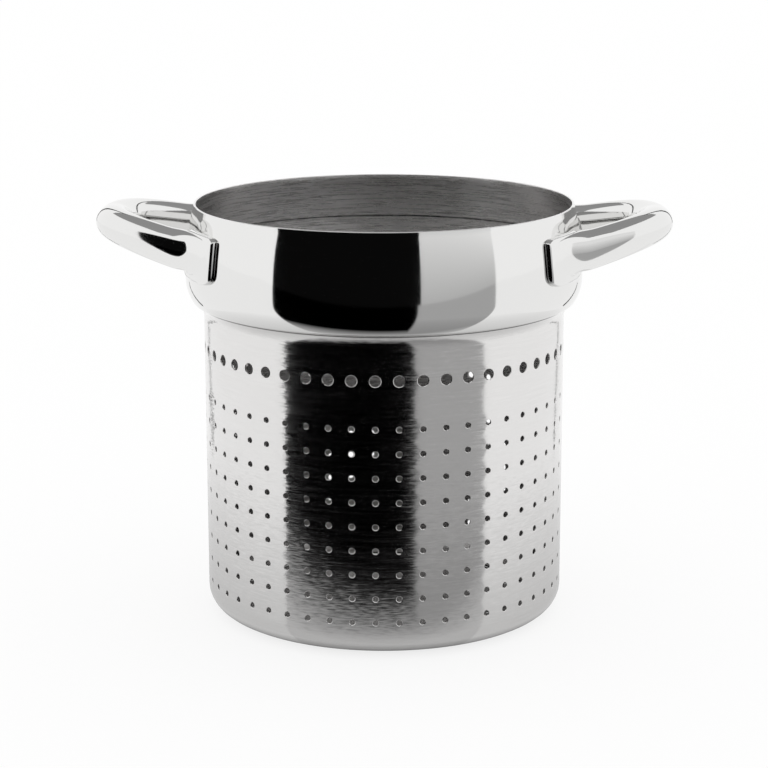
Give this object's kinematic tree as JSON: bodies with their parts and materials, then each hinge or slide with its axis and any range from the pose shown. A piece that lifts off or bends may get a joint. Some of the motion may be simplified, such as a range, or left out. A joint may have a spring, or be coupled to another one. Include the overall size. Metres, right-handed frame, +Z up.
{
  "type": "pasta strainer insert",
  "caption": "Deep perforated strainer insert for a pasta pot, with a polished flared collar and two cast loop handles.",
  "frame": {"origin": "middle of the underside of the base", "axes": "+Z up along the basket's axis, +X towards the right handle, -Y towards the side seen in the picture"},
  "size_m": [0.303, 0.2088, 0.2195],
  "materials": {
    "satin_steel": "satin, brushed round the axis",
    "polished_steel": "mirror polished stainless steel",
    "polished_casting": "mirror polished cast stainless steel"
  },
  "bodies": {
    "root": {"perforated_basket": "satin_steel", "rim_collar": "polished_steel", "left_handle": "polished_casting", "right_handle": "polished_casting"}
  },
  "joints": []
}
